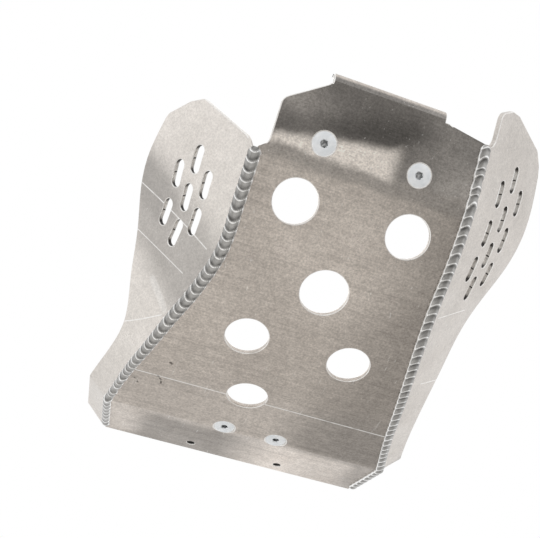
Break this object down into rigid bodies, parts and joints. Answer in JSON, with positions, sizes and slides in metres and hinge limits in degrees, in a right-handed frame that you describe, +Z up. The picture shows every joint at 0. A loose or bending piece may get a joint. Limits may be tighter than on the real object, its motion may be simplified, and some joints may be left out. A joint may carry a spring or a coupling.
{
  "type": "motorcycle skid plate",
  "caption": "Rolled aluminium guard for the underside of a motorcycle, with flared slotted wings welded along its edges, access holes and countersunk screws.",
  "frame": {"origin": "midway between the two rear screws, on the inner face of the sheet", "axes": "+X across to the side of the longer wing, +Y to the back of the motorcycle, +Z up"},
  "size_m": [0.3096, 0.3502, 0.1712],
  "materials": {
    "plate": "mill finish sheet, lightly scuffed",
    "wings": "mill finish sheet, faint grain",
    "welds": "bright rippled weld",
    "screws": "pale zinc plating"
  },
  "bodies": {
    "root": {"center_plate": "plate", "left_wing": "wings", "right_wing": "wings", "left_weld": "welds", "right_weld": "welds", "screws": "screws"}
  },
  "joints": []
}
